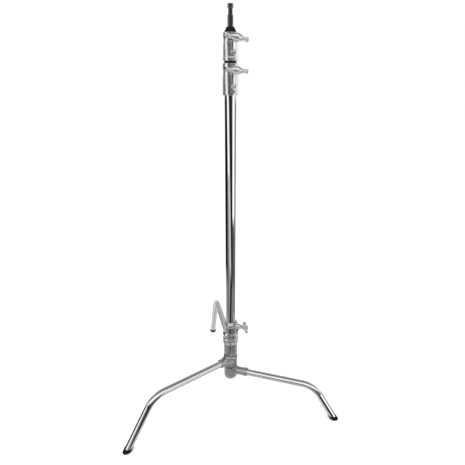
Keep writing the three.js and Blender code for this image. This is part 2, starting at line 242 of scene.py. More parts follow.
def value(tree, operation, first, second=None, third=None):
    node = tree.nodes.new("ShaderNodeMath")
    node.operation = operation
    for index, item in enumerate((first, second, third)):
        if item is None:
            continue
        if isinstance(item, (int, float)):
            node.inputs[index].default_value = item
        else:
            link(tree, item, node.inputs[index])
    return node.outputs[0]


def ranged(tree, source, fromLow, fromHigh, toLow, toHigh):
    node = tree.nodes.new("ShaderNodeMapRange")
    node.interpolation_type = "SMOOTHSTEP"
    link(tree, source, node.inputs["Value"])
    for name, item in (("From Min", fromLow), ("From Max", fromHigh), ("To Min", toLow), ("To Max", toHigh)):
        if isinstance(item, (int, float)):
            node.inputs[name].default_value = item
        else:
            link(tree, item, node.inputs[name])
    return node.outputs["Result"]


def noise(tree, vector, scale, detail=3.0, roughness=0.55):
    node = tree.nodes.new("ShaderNodeTexNoise")
    link(tree, vector, node.inputs["Vector"])
    node.inputs["Scale"].default_value = scale
    node.inputs["Detail"].default_value = detail
    node.inputs["Roughness"].default_value = roughness
    return node.outputs["Fac"]


def mixed(tree, factor, first, second):
    node = tree.nodes.new("ShaderNodeMix")
    node.data_type = "RGBA"
    for socket, item in ((node.inputs[0], factor), (node.inputs[6], first), (node.inputs[7], second)):
        if isinstance(item, (int, float)):
            socket.default_value = item
        elif isinstance(item, tuple):
            socket.default_value = (*item, 1)
        else:
            link(tree, item, socket)
    return node.outputs[2]


def stretched(tree, vector, scale):
    node = tree.nodes.new("ShaderNodeMapping")
    node.inputs["Scale"].default_value = scale
    link(tree, vector, node.inputs["Vector"])
    return node.outputs["Vector"]


def newGroup(name, inputs, outputs):
    tree = bpy.data.node_groups.new(name, "ShaderNodeTree")
    for socketName, kind, default in inputs:
        socket = tree.interface.new_socket(name=socketName, in_out="INPUT", socket_type=kind)
        if default is not None:
            socket.default_value = default
    for socketName, kind in outputs:
        tree.interface.new_socket(name=socketName, in_out="OUTPUT", socket_type=kind)
    return tree, tree.nodes.new("NodeGroupInput").outputs, tree.nodes.new("NodeGroupOutput").inputs


def handlingMarks():
    # smudges from hands, fine rubbed lines along the piece, and specks of grime
    tree, given, out = newGroup("handlingMarks", [
        ("Vector", "NodeSocketVector", None), ("Smudge Size", "NodeSocketFloat", 18.0),
        ("Line Stretch", "NodeSocketFloat", 0.04)], [
        ("Smudge", "NodeSocketFloat"), ("Lines", "NodeSocketFloat"), ("Specks", "NodeSocketFloat")])
    coarse = tree.nodes.new("ShaderNodeTexNoise")
    coarse.inputs["Detail"].default_value = 4
    link(tree, given["Vector"], coarse.inputs["Vector"])
    link(tree, given["Smudge Size"], coarse.inputs["Scale"])
    link(tree, ranged(tree, coarse.outputs["Fac"], 0.42, 0.66, 0.0, 1.0), out["Smudge"])
    combine = tree.nodes.new("ShaderNodeCombineXYZ")
    combine.inputs[0].default_value = combine.inputs[1].default_value = 1
    link(tree, given["Line Stretch"], combine.inputs[2])
    product = tree.nodes.new("ShaderNodeVectorMath")
    product.operation = "MULTIPLY"
    link(tree, given["Vector"], product.inputs[0])
    link(tree, combine.outputs[0], product.inputs[1])
    lines = noise(tree, product.outputs[0], 2600.0, 2.0)
    link(tree, ranged(tree, lines, 0.5, 0.72, 0.0, 1.0), out["Lines"])
    specks = noise(tree, given["Vector"], 900.0, 2.0)
    link(tree, ranged(tree, specks, 0.66, 0.74, 0.0, 1.0), out["Specks"])
    return tree


def castGrain():
    # the fine orange-peel skin of a casting and its slow waviness
    tree, given, out = newGroup("castGrain", [
        ("Vector", "NodeSocketVector", None), ("Grain", "NodeSocketFloat", 1400.0),
        ("Wave", "NodeSocketFloat", 160.0), ("Wave Share", "NodeSocketFloat", 0.5)], [
        ("Height", "NodeSocketFloat"), ("Mottle", "NodeSocketFloat")])
    fine = tree.nodes.new("ShaderNodeTexNoise")
    fine.inputs["Detail"].default_value = 4
    slow = tree.nodes.new("ShaderNodeTexNoise")
    slow.inputs["Detail"].default_value = 2
    for node, scale in ((fine, "Grain"), (slow, "Wave")):
        link(tree, given["Vector"], node.inputs["Vector"])
        link(tree, given[scale], node.inputs["Scale"])
    blend = tree.nodes.new("ShaderNodeMix")
    link(tree, given["Wave Share"], blend.inputs[0])
    link(tree, fine.outputs["Fac"], blend.inputs[2])
    link(tree, slow.outputs["Fac"], blend.inputs[3])
    link(tree, blend.outputs[0], out["Height"])
    link(tree, ranged(tree, slow.outputs["Fac"], 0.35, 0.65, 0.0, 1.0), out["Mottle"])
    return tree


groups = {"marks": handlingMarks(), "grain": castGrain()}


def useGroup(tree, name, vector, values):
    node = tree.nodes.new("ShaderNodeGroup")
    node.node_tree = groups[name]
    link(tree, vector, node.inputs["Vector"])
    for socket, amount in values.items():
        node.inputs[socket].default_value = amount
    return node.outputs


def newMaterial(name, settings):
    material = bpy.data.materials.new(name)
    material.use_nodes = True
    tree = material.node_tree
    shader = tree.nodes["Principled BSDF"]
    for socket, amount in settings.items():
        shader.inputs[socket].default_value = amount
    vector = tree.nodes.new("ShaderNodeTexCoord").outputs["Object"]
    return material, tree, shader, vector


def bumped(tree, shader, height, strength, distance):
    node = tree.nodes.new("ShaderNodeBump")
    node.inputs["Strength"].default_value = strength
    node.inputs["Distance"].default_value = distance
    link(tree, height, node.inputs["Height"])
    link(tree, node.outputs["Normal"], shader.inputs["Normal"])


def attribute(tree, name):
    node = tree.nodes.new("ShaderNodeAttribute")
    node.attribute_name = name
    return node.outputs["Fac"]


def platedMaterial(name, look):
    # chrome plate: clean, with smudges that only dull it a little
    material, tree, shader, vector = newMaterial(name, {"Metallic": 1.0})
    marks = useGroup(tree, "marks", vector,
        {"Smudge Size": look["smudgeSize"], "Line Stretch": look["lineStretch"]})
    dull = value(tree, "MULTIPLY", marks["Smudge"], look["smudge"])
    worn = value(tree, "MULTIPLY_ADD", marks["Lines"], look["lines"], dull)
    link(tree, value(tree, "ADD", worn, look["roughness"]), shader.inputs["Roughness"])
    tint = mixed(tree, value(tree, "MULTIPLY", marks["Smudge"], 0.5), look["colour"], look["stained"])
    link(tree, mixed(tree, value(tree, "MULTIPLY", marks["Specks"], look["specks"]), tint,
        (0.12, 0.12, 0.12)),
         shader.inputs["Base Color"])
    grain = useGroup(tree, "grain", vector,
        {"Grain": look["grain"], "Wave": look["wave"], "Wave Share": look["waveShare"]})
    bumped(tree, shader, grain["Height"], look["bump"], look["bumpDepth"])
    return material


def castMaterial(name, look):
    # bare casting: mottled grey, grainy, brighter where its edges are rubbed
    material, tree, shader, vector = newMaterial(name, {"Metallic": look["metallic"]})
    grain = useGroup(tree, "grain", vector,
        {"Grain": look["grain"], "Wave": look["wave"], "Wave Share": look["waveShare"]})
    marks = useGroup(tree, "marks", vector, {"Smudge Size": 30.0, "Line Stretch": 1.0})
    base = mixed(tree, grain["Mottle"], look["dark"], look["light"])
    brightEdge = ranged(tree, attribute(tree, "rim"), look["rimLow"], look["rimHigh"], 0.0, look["rimAmount"])
    base = mixed(tree, brightEdge, base, look["edge"])
    base = mixed(tree, value(tree, "MULTIPLY", marks["Specks"], 0.6), base, (0.08, 0.08, 0.08))
    link(tree, base, shader.inputs["Base Color"])
    rough = ranged(tree, grain["Height"], 0.3, 0.7, look["roughLow"], look["roughHigh"])
    link(tree, value(tree, "MULTIPLY_ADD", brightEdge, -0.12, rough), shader.inputs["Roughness"])
    bumped(tree, shader, grain["Height"], look["bump"], look["bumpDepth"])
    return material


def turnedMaterial(name, look):
    # machined steel or brass, with fine tool lines round it and lighter convex edges
    material, tree, shader, vector = newMaterial(name, {"Metallic": look["metallic"]})
    marks = useGroup(tree, "marks", vector, {"Smudge Size": 60.0, "Line Stretch": 1.0})
    lines = noise(tree, stretched(tree, vector, (0.2, 0.2, 1.0)), look["toolLines"], 2.0)
    base = mixed(tree, marks["Smudge"], look["colour"], look["second"])
    # lighter colour on convex edges: partly rubbed wear, partly painted highlight, which paints glints on
    # the rims of the dark steel rivet heads
    brightEdge = ranged(tree, attribute(tree, "rim"), 0.25, 0.9, 0.0, look["rimAmount"])
    link(tree, mixed(tree, brightEdge, base, look["edge"]), shader.inputs["Base Color"])
    link(tree, ranged(tree, lines, 0.3, 0.7, look["roughLow"], look["roughHigh"]),
        shader.inputs["Roughness"])
    bumped(tree, shader, lines, look["bump"], look["bumpDepth"])
    return material


def mouldedMaterial(name, look):
    # moulded plastic or rubber: fine grain, dusty where it is low
    material, tree, shader, vector = newMaterial(name,
        {"Metallic": 0.0, "Specular IOR Level": look["specular"]})
    grain = useGroup(tree, "grain", vector,
        {"Grain": look["grain"], "Wave": look["wave"], "Wave Share": 0.3})
    marks = useGroup(tree, "marks", vector, {"Smudge Size": 70.0, "Line Stretch": 1.0})
    base = mixed(tree, grain["Mottle"], look["dark"], look["light"])
    brightEdge = ranged(tree, attribute(tree, "rim"), 0.2, 0.8, 0.0, look["rimAmount"])
    base = mixed(tree, brightEdge, base, look["edge"])
    split = tree.nodes.new("ShaderNodeSeparateXYZ")
    link(tree, vector, split.inputs[0])
    low = ranged(tree, split.outputs[2], 0.0, look["dustHeight"], look["dustAmount"], 0.0)
    dust = value(tree, "MULTIPLY", low, value(tree, "MULTIPLY_ADD", marks["Smudge"], 0.6, 0.4))
    link(tree, mixed(tree, dust, base, look["dust"]), shader.inputs["Base Color"])
    link(tree, ranged(tree, grain["Height"], 0.3, 0.7, look["roughLow"], look["roughHigh"]),
        shader.inputs["Roughness"])
    bumped(tree, shader, grain["Height"], look["bump"], look["bumpDepth"])
    return material


finishes = {
    "chrome": platedMaterial("polishedChrome", {
        "colour": (0.80, 0.81, 0.82), "stained": (0.72, 0.73, 0.73), "roughness": 0.015, "smudge": 0.02,
        "lines": 0.02, "specks": 0.25, "smudgeSize": 14.0, "lineStretch": 0.02, "grain": 500.0, "wave": 60.0,
        "waveShare": 0.8, "bump": 0.035, "bumpDepth": 0.00012}),
    "leg_chrome": platedMaterial("legChrome", {
        "colour": (0.79, 0.795, 0.80), "stained": (0.70, 0.71, 0.71), "roughness": 0.075, "smudge": 0.03,
        "lines": 0.03, "specks": 0.3, "smudgeSize": 14.0, "lineStretch": 0.3, "grain": 500.0, "wave": 60.0,
        "waveShare": 0.8, "bump": 0.035, "bumpDepth": 0.00012}),
    "cast_chrome": platedMaterial("platedCasting", {
        "colour": (0.76, 0.755, 0.76), "stained": (0.66, 0.655, 0.66), "roughness": 0.13, "smudge": 0.10,
        "lines": 0.05, "specks": 0.35, "smudgeSize": 55.0, "lineStretch": 0.3, "grain": 700.0, "wave": 170.0,
        "waveShare": 0.75, "bump": 0.22, "bumpDepth": 0.0003}),
    "handle": platedMaterial("satinHandle", {
        "colour": (0.86, 0.855, 0.875), "stained": (0.78, 0.775, 0.79), "roughness": 0.3, "smudge": 0.12,
        "lines": 0.05, "specks": 0.3, "smudgeSize": 70.0, "lineStretch": 0.3, "grain": 900.0, "wave": 200.0,
        "waveShare": 0.6, "bump": 0.25, "bumpDepth": 0.0003}),
    "cast_grey": castMaterial("tumbledCasting", {
        "metallic": 0.9, "dark": (0.36, 0.365, 0.365), "light": (0.48, 0.485, 0.485),
        "edge": (0.62, 0.62, 0.61),
        "rimLow": 0.12, "rimHigh": 0.5, "rimAmount": 0.6, "roughLow": 0.17, "roughHigh": 0.3,
        "grain": 1500.0,
        "wave": 220.0, "waveShare": 0.35, "bump": 0.35, "bumpDepth": 0.0003}),
    # the light edge colour of this near-black steel is partly rubbed wear and partly painted highlight:
    # glints on the rivet heads' rims
    "dark_steel": turnedMaterial("blackChromedSteel", {
        "metallic": 1.0, "colour": (0.12, 0.12, 0.125), "second": (0.2, 0.2, 0.21), "edge": (0.6, 0.6, 0.6),
        "rimAmount": 0.5, "toolLines": 2400.0, "roughLow": 0.08, "roughHigh": 0.16, "bump": 0.2,
        "bumpDepth": 0.0001}),
    "spring_steel": turnedMaterial("zincPlatedSteel", {
        "metallic": 1.0, "colour": (0.42, 0.43, 0.44), "second": (0.52, 0.52, 0.51), "edge": (0.7, 0.7, 0.7),
        "rimAmount": 0.6, "toolLines": 1800.0, "roughLow": 0.25, "roughHigh": 0.42, "bump": 0.2,
        "bumpDepth": 0.0001}),
    "brass": turnedMaterial("turnedBrass", {
        "metallic": 1.0, "colour": (0.69, 0.50, 0.24), "second": (0.58, 0.42, 0.20),
        "edge": (0.85, 0.7, 0.4),
        "rimAmount": 0.5, "toolLines": 1500.0, "roughLow": 0.22, "roughHigh": 0.4, "bump": 0.2,
        "bumpDepth": 0.0001}),
    "nylon": mouldedMaterial("naturalNylon", {
        "specular": 0.4, "dark": (0.66, 0.65, 0.60), "light": (0.76, 0.75, 0.71), "edge": (0.85, 0.85, 0.82),
        "rimAmount": 0.3, "dust": (0.4, 0.38, 0.35), "dustHeight": 0.02, "dustAmount": 0.0, "grain": 900.0,
        "wave": 120.0, "roughLow": 0.45, "roughHigh": 0.6, "bump": 0.2, "bumpDepth": 0.0002}),
    "black_plastic": mouldedMaterial("mouldedBlackPlastic", {
        "specular": 0.2, "dark": (0.002, 0.002, 0.0022), "light": (0.004, 0.004, 0.0045),
        "edge": (0.03, 0.03, 0.03),
        "rimAmount": 0.35, "dust": (0.2, 0.19, 0.18), "dustHeight": 0.02, "dustAmount": 0.0, "grain": 1600.0,
        "wave": 200.0, "roughLow": 0.06, "roughHigh": 0.12, "bump": 0.25, "bumpDepth": 0.0002}),
    "rubber": mouldedMaterial("blackRubber", {
        "specular": 0.15, "dark": (0.005, 0.005, 0.005), "light": (0.010, 0.010, 0.011),
        "edge": (0.03, 0.03, 0.03),
        "rimAmount": 0.4, "dust": (0.10, 0.095, 0.09), "dustHeight": 0.006, "dustAmount": 0.3,
        "grain": 1300.0,
        "wave": 260.0, "roughLow": 0.6, "roughHigh": 0.85, "bump": 0.4, "bumpDepth": 0.0003}),
}
# nearly black washers: on the spring washer this dark colour is painted shade, standing in for the shadow
# band in the gap under the spring cup
darkWasherWithPaintedShade = mouldedMaterial("darkWasherPaintedShade", {
    "specular": 0.4, "dark": (0.02, 0.02, 0.02), "light": (0.035, 0.034, 0.032), "edge": (0.06, 0.06, 0.06),
    "rimAmount": 0.3, "dust": (0.2, 0.19, 0.18), "dustHeight": 0.02, "dustAmount": 0.0, "grain": 900.0,
    "wave": 120.0, "roughLow": 0.35, "roughHigh": 0.5, "bump": 0.2, "bumpDepth": 0.0002})
slotOf = {row["node"]: row["material_slot"] for row in frame["record"]["subparts"]}
for nodeName, node in frame["nodes"].items():
    node.data.materials.clear()
    surface = darkWasherWithPaintedShade if nodeName in ("hub_washer", "spring_washer") else finishes[slotOf[nodeName]]
    node.data.materials.append(surface)
print("materials:", len(finishes), "finishes on", len(frame["nodes"]), "nodes")


def evenShading(piece):
    # broad faces keep their own shading where they meet a rounded edge
    step = piece.modifiers.new("evenShading", "WEIGHTED_NORMAL")
    step.mode, step.weight, step.keep_sharp = "FACE_AREA", 80, True


def finish(piece, node, place, sharpAngle=35, look=None):
    # a detailed piece that stands for one node of the frame
    body = body_of(frame["nodes"][node])[0]
    slotName = slotOf[node]
    if sharpAngle < 180:
        evenShading(piece)
    return placed(piece, node + "_detail", place, body, [node], finishes[look or slotName],
        sharpAngle)


# ---- column and risers

def mast(node, look):
    low, high = heights(node)
    outer, inner = look["radius"], look["radius"] - look["wall"]
    hold = look["hold"]
    bm = spun([
        (inner, low), (outer, low), (outer, low + hold), (outer, (low + high) / 2), (outer, high - hold),
        (outer, high),
        (inner, high), (inner, high - hold), (inner, low + hold)], look["segments"])
    finish(asObject(rounded(bm, look["edge"])), node, onColumn)


columnLook = {"radius": 17.5, "wall": 1.5, "edge": 0.4, "hold": 6, "segments": 128}
mast("column_tube", columnLook)
riserLook = {"radius": 15.0, "wall": 1.5, "edge": 0.4, "hold": 6, "segments": 128}
mast("riser_1_tube", riserLook)
innerRiserLook = {"radius": 12.5, "wall": 1.5, "edge": 0.4, "hold": 6, "segments": 128}
mast("riser_2_tube", innerRiserLook)

ringLook = {"inner": 15.4, "outer": 17.9, "slope": 0.3, "edge": 0.7}
low, high = heights("riser_1_stop_ring")
middle = (low + high) / 2
finish(asObject(rounded(spun([
    (ringLook["inner"], low), (ringLook["outer"] - ringLook["slope"], low), (ringLook["outer"], middle),
    (ringLook["outer"] - ringLook["slope"], high), (ringLook["inner"], high)]), ringLook["edge"], 3)),
    "riser_1_stop_ring", onColumn)

capLook = {"seat": 12.8, "seatDepth": 4.1, "hole": 8.35, "foot": 16.4, "rim": (16.8, 0.9),
    "skirt": (16.5, 3.4),
           "shoulder": (14.2, 7.4), "taper": (12.2, 11.6), "neck": 11.7, "lip": 10.9, "lipHeight": 1.1,
           "edge": 0.5}
low, high = heights("top_cap")
skin = [(radius, low + z) for radius, z in (capLook[part] for part in ("rim", "skirt", "shoulder", "taper"))]
finish(asObject(rounded(spun([
    (capLook["seat"], low), (capLook["foot"], low), *skin, (capLook["neck"], high - capLook["lipHeight"]),
    (capLook["lip"], high), (capLook["hole"], high), (capLook["hole"], low + capLook["seatDepth"] + 0.8),
    (capLook["seat"], low + capLook["seatDepth"])]), capLook["edge"], 3, 14)), "top_cap", onColumn)

spigotLook = {"shank": 8.0, "waist": 6.0, "plug": 10.6, "plugTop": 1287.4, "waistFrom": 1326,
    "waistTo": 1344,
              "relief": 0.02, "edge": 0.5}
low, high = heights("spigot")
high -= spigotLook["relief"]
finish(asObject(rounded(lathed([
    (0, low), (spigotLook["plug"] - 1, low), (spigotLook["plug"], low + 1.5),
    (spigotLook["plug"], spigotLook["plugTop"]),
    (spigotLook["shank"], spigotLook["plugTop"] + 1.2), (spigotLook["shank"], spigotLook["waistFrom"]),
    (spigotLook["waist"], spigotLook["waistFrom"] + 2), (spigotLook["waist"], spigotLook["waistTo"] - 2),
    (spigotLook["shank"], spigotLook["waistTo"]), (spigotLook["shank"], high - 1.4),
    (spigotLook["shank"] - 1.2, high), (0, high)]), spigotLook["edge"], 3, 20)), "spigot", onColumn)
print("column, risers and spigot")


# ---- riser locks

def bossShape(look, height):
    # the round boss that the screw runs in, with a blind hole in its end
    root, end, radius = look["bossRoot"], look["bossEnd"], look["bossRadius"]
    hole = look["holeRadius"]
    return alongX(rounded(lathed([
        (0, root), (radius + 3.0, root), (radius + 2.0, root + 1.8), (radius + 0.9, root + 3.6),
        (radius + 0.3, root + 5.2), (radius, root + 7.0), (radius, end), (hole, end), (hole, end - 5),
        (0, end - 5)],
        48), 0.7, 3, 40), height)


def seatShape(look, height, surface):
    # the raised ring round the rivet
    radius, hole = look["seatRadius"], look["seatHole"]
    return alongX(rounded(lathed([
        (0, surface - 3.8), (radius + 0.6, surface - 3.8), (radius + 0.3, surface - 0.2),
        (radius, surface + 2.3),
        (hole, surface + 2.3), (hole, surface - 1.8), (0, surface - 1.8)], 40), 0.5, 3, 40), height)


def lockCasting(node, look):
    low, high = heights(node)
    footRim, lower, upper, headRim = look["radii"]
    lowerBore, upperBore = look["bores"]
    step, bolt, rivetHeight = look["step"], look["bolt"], look["rivet"]
    barrel = spun([
        (lowerBore, low), (footRim, low), (footRim, low + 8), (lower, low + 10), (lower, step),
        (upper, step + 13), (upper, high - 14), (headRim, high - 11.5), (headRim, high), (upperBore, high),
        (upperBore, step + 0.3), (lowerBore, step)], 144)
    rounded(barrel, 0.8, 3, 12)
    # the rib under the boss widens upward
    rib = slab([
        (look["bossRoot"], bolt + 5), (look["bossEnd"] - 5, bolt - 3), (lower + 2.8, bolt - 20),
        (lower + 1.8, rivetHeight), (look["bossRoot"], rivetHeight)], look["ribThickness"], 1.6)
    for vert in rib.verts:
        vert.co.y *= 1 + look["ribSpread"] * (vert.co.z - rivetHeight) / (bolt - rivetHeight)
    piece = welded(barrel, [bossShape(look, bolt), rib, seatShape(look, rivetHeight, lower)])
    finish(piece, node, facing(look["azimuth"]), sharpAngle=30)


rivetShape = {"radius": 3.0, "crown": 2.4, "dish": 1.3, "pit": 0.9, "depth": 2.4, "stands": 0.9,
    "edge": 0.25}


def rivetHead(node, look):
    # a flat-topped rivet with a dished middle
    surface, radius, top = look["rivetSurface"], rivetShape["radius"], rivetShape["stands"]
    head = alongX(lathed([
        (0, surface - rivetShape["depth"]), (radius, surface - rivetShape["depth"]),
        (radius, surface + top - 0.5),
        (rivetShape["crown"], surface + top), (rivetShape["dish"], surface + top - 0.1),
        (rivetShape["pit"], surface + 0.2), (0, surface)], 32), look["rivet"])
    # the lock rivets take the dark steel finish: its near-black colour is painted shade for the dark middle
    # of the recessed rivet seat, and its light edge colour a painted highlight round the head
    finish(asObject(rounded(head, rivetShape["edge"], 2, 30)), node, facing(look["azimuth"]),
        look="dark_steel")


screwShape = {"tip": 2.7, "core": 3.4, "root": 3.2, "crest": 4.0, "stepsPerTurn": 24}


def threadedScrew(node, look, place):
    # a core with a raised helical thread
    start, end = look["tip"], look["end"]
    core = rounded(lathed([(0, start), (screwShape["tip"], start), (screwShape["core"], start + 0.8),
        (screwShape["core"], end),
                           (0, end)], 32), 0.2)
    thread = bmesh.new()
    pitch, steps = look["pitch"], screwShape["stepsPerTurn"]
    root, crest = screwShape["root"], screwShape["crest"]
    turns = int((end - start - 3) / pitch)
    verts = [thread.verts.new(co) for co in ((root, 0, start + 1), (crest, 0, start + 1 + 0.44 * pitch),
                                             (root, 0, start + 1 + 0.88 * pitch))]
    edges = [thread.edges.new((verts[k], verts[(k + 1) % 3])) for k in range(3)]
    bmesh.ops.spin(thread, geom=verts + edges, cent=(0, 0, 0), axis=(0, 0, 1), dvec=(0, 0, pitch / steps),
                   angle=2 * math.pi * turns, steps=steps * turns)
    bmesh.ops.holes_fill(thread, edges=[e for e in thread.edges if e.is_boundary], sides=0)
    bmesh.ops.recalc_face_normals(thread, faces=thread.faces)
    spare = bpy.data.meshes.new("thread")
    thread.to_mesh(spare)
    thread.free()
    core.from_mesh(spare)
    bpy.data.meshes.remove(spare)
    finish(asObject(alongX(core)), node, place)


# half of the bar's outline, from its middle to its trumpet end
handleShape = {
    "half": [(11.2, 0), (10.9, 3), (10.2, 6), (8.9, 9.5), (7.4, 13), (6.0, 16.5), (5.1, 20), (4.7, 23.5),
             (4.9, 26), (5.7, 28), (6.9, 29.4), (6.9, 31.2), (6.0, 31.8)],
    "neck": [(0, -12.4), (7.3, -12.4), (7.5, -9.5), (8.4, -7), (9.6, -4.5), (9.8, 0), (0, 0)]}


def tHandle(node, place):
    # a turned bar with trumpet ends, on a thick neck
    half = handleShape["half"]
    end = half[-1][1]
    outline = [(0, -end)] + [(r, -z) for r, z in reversed(half[1:])] + half + [(0, end)]
    bar = alongY(rounded(lathed(outline, 64), 0.5, 3, 40))
    neck = alongX(rounded(lathed(handleShape["neck"], 48), 0.6, 3, 40))
    finish(welded(bar, [neck]), node, place, sharpAngle=32, look="handle")


def lockParts(prefix, look):
    onBolt = facing(look["azimuth"]) @ Matrix.Translation((0, 0, look["bolt"]))
    threadedScrew(prefix + "_screw", look, onBolt)
    turn = Matrix.Rotation(math.radians(look["tilt"]), 4, "X")
    tHandle(prefix + "_handle", onBolt @ Matrix.Translation((look["bar"], 0, 0)) @ turn)


columnLockLook = {
    "azimuth": 295, "bolt": 1187, "rivet": 1145, "rivetSurface": 21.6, "step": 1166,
    "radii": (22.8, 22.5, 21.4, 22.5), "bores": (17.9, 15.5),
    "bossRoot": 18.4, "bossEnd": 31, "bossRadius": 8.0, "holeRadius": 4.4, "seatRadius": 7.3,
    "seatHole": 4.3,
    "ribThickness": 5.5, "ribSpread": 1.6, "bar": 45, "tilt": -4, "tip": 19.2, "end": 40, "pitch": 1.25}
lockCasting("column_lock_casting", columnLockLook)
rivetHead("column_lock_rivet", columnLockLook)
lockParts("column_lock", columnLockLook)

riserLockLook = {
    "azimuth": 295, "bolt": 1268, "rivet": 1233, "rivetSurface": 20.0, "step": 1250.4,
    "radii": (21.4, 20.9, 19.5, 21.0), "bores": (15.4, 13.1),
    "bossRoot": 16.6, "bossEnd": 31, "bossRadius": 8.0, "holeRadius": 4.4, "seatRadius": 7.3,
    "seatHole": 4.3,
    "ribThickness": 5.5, "ribSpread": 1.6, "bar": 45, "tilt": -8, "tip": 16.7, "end": 40, "pitch": 1.25}
lockCasting("riser_1_lock_casting", riserLockLook)
rivetHead("riser_1_lock_rivet", riserLockLook)
lockParts("riser_1_lock", riserLockLook)
print("riser locks")


# ---- legs

legShape = {"radius": 12.5, "wall": 1.6, "knee": 316, "bend": 78, "reach": 420, "footHeight": 12,
    "sides": 64,
            "bendSteps": 40, "socket": 12.8, "pinRadius": 2.5, "pinHole": 2.9, "pinHalf": 13.4}
footShape = {"radius": 13.6, "top": 14, "tubeEnd": 7, "socket": 12.75, "edge": 1.0}


def legLine(look):
    knee = Vector((legShape["knee"], 0, look["height"]))
    sole = Vector((legShape["reach"] + look["extraReach"], 0, legShape["footHeight"]))
    down = (sole - knee).normalized()
    slope = math.asin(-down.z)
    onFloor = sole - down * (sole.z / down.z)
    return knee, down, slope, onFloor


def bentTube(node, look):
    knee, down, slope, onFloor = legLine(look)
    end = onFloor + down * 14
    tangent = legShape["bend"] * math.tan(slope / 2)
    bendStart = knee - Vector((tangent, 0, 0))
    bendEnd = knee + down * tangent
    bm = bmesh.new()
    ring = bmesh.ops.create_circle(bm, segments=legShape["sides"], radius=legShape["radius"])["verts"]
    bmesh.ops.transform(bm, verts=ring, matrix=Matrix.Translation((look["start"], 0, look["height"]))
                        @ Matrix.Rotation(math.pi / 2, 4, "Y"))

    def grow(edges, shift):
        grown = bmesh.ops.extrude_edge_only(bm, edges=edges)["geom"]
        verts = [g for g in grown if isinstance(g, bmesh.types.BMVert)]
        bmesh.ops.translate(bm, verts=verts, vec=shift)
        return [g for g in grown if isinstance(g, bmesh.types.BMEdge) and all(v in verts for v in g.verts)]

    edges = grow(list(bm.edges), Vector((bendStart.x - look["start"], 0, 0)))
    centre = bendStart - Vector((0, 0, legShape["bend"]))
    turned = bmesh.ops.spin(bm, geom=edges + list({v for e in edges for v in e.verts}), cent=centre,
        axis=(0, 1, 0),
                            dvec=(0, 0, 0), angle=slope, steps=legShape["bendSteps"])["geom_last"]
    edges = [g for g in turned if isinstance(g, bmesh.types.BMEdge)]
    grow(edges, end - bendEnd)
    bmesh.ops.bisect_plane(bm, geom=list(bm.verts) + list(bm.edges) + list(bm.faces),
                           plane_co=(0, 0, footShape["tubeEnd"]), plane_no=(0, 0, 1), clear_inner=True)
    bmesh.ops.remove_doubles(bm, verts=bm.verts, dist=0.0005)
    bmesh.ops.recalc_face_normals(bm, faces=bm.faces)
    if sum(f.calc_area() * f.normal.dot(f.calc_center_median() - Vector((f.calc_center_median().x, 0,
        look["height"])))
           for f in bm.faces if f.calc_center_median().x < bendStart.x) < 0:
        bmesh.ops.reverse_faces(bm, faces=bm.faces)
    piece = asObject(bm)
    wall = piece.modifiers.new("wall", "SOLIDIFY")
    wall.thickness, wall.offset = legShape["wall"], -1
    finish(settle(piece), node, facing(look["azimuth"]), look="leg_chrome")


def leaningPost(look, radius, low, high):
    # a post in line with the leg's lower end, cut off level at both ends
    knee, down, slope, onFloor = legLine(look)
    post = lathed([(0, -60), (radius, -60), (radius, 60), (0, 60)], 72)
    moved(post, Matrix.Translation(onFloor) @ Matrix.Rotation(math.pi / 2 + slope, 4, "Y"))
    for height, up in ((low, 1), (high, -1)):
        bmesh.ops.bisect_plane(post, geom=list(post.verts) + list(post.edges) + list(post.faces),
                               plane_co=(0, 0, height), plane_no=(0, 0, up), clear_inner=True)
        bmesh.ops.holes_fill(post, edges=[e for e in post.edges if e.is_boundary], sides=0)
    bmesh.ops.recalc_face_normals(post, faces=post.faces)
    return post


def rubberFoot(node, look):
    boot = rounded(leaningPost(look, footShape["radius"], 0, footShape["top"]), footShape["edge"], 4, 30)
    socket = leaningPost(look, footShape["socket"], footShape["tubeEnd"] - 1.3, footShape["top"] + 20)
    finish(welded(boot, [], [socket]), node, facing(look["azimuth"]), sharpAngle=30)


def rollPin(node, look):
    radius, half = legShape["pinRadius"], legShape["pinHalf"]
    pin = rounded(spun([(1.3, -half), (radius, -half), (radius, half), (1.3, half)], 32), 0.25, 2)
    finish(asObject(alongY(pin, look["pin"], look["height"])), node, facing(look["azimuth"]))


legs = {
    "bottom_leg": {"azimuth": 343.7, "height": 130, "extraReach": -28, "start": 22, "end": 68, "pin": 56},
    "middle_leg": {"azimuth": 215.6, "height": 175, "extraReach": 0, "start": 22, "end": 49, "pin": 41},
    "sliding_leg": {"azimuth": 102.2, "height": 252, "extraReach": 7, "start": 31.3, "end": 54, "pin": 45},
}
for name, look in legs.items():
    bentTube(name + "_tube", look)
    rubberFoot(name + "_foot", look)
    rollPin(name + "_pin", look)
print("legs and feet")


# ---- hubs

def socketShape(look, root, thin=15.0, thick=16.0, band=17):
    # the round socket that a leg is pinned into, with a thicker band at its mouth
    end, bore = look["end"], legShape["socket"]
    bandStart = max(end - band, root + 8)
    return alongX(rounded(lathed([
        (0, root), (thin, root), (thin, bandStart), (thick, bandStart + 1.2), (thick, end), (bore, end),
        (bore, look["start"]), (0, look["start"])], 72), 0.8, 3, 20), look["height"])


def pinHole(look):
    return alongY(lathed([(0, -40), (legShape["pinHole"], -40), (legShape["pinHole"], 40), (0, 40)], 32),
        look["pin"], look["height"])


def legBore(look, root):
    # the bore that the leg's tube stands in
    bore = legShape["socket"]
    return alongX(lathed([(0, root), (bore, root), (bore, 80), (0, 80)], 72), look["height"])


hubSkin = {"voxel": 0.6, "rounds": 8}
bottomHubLook = {"radius": 24.7, "bore": 13.9, "seatBore": 17.9, "seatHeight": 105.3, "rivetAzimuth": 245,
                 "rivetHeight": 123, "webDepth": 24,
                 "web": [(15, 112), (40, 119), (52, 130), (40, 141), (15, 147)]}

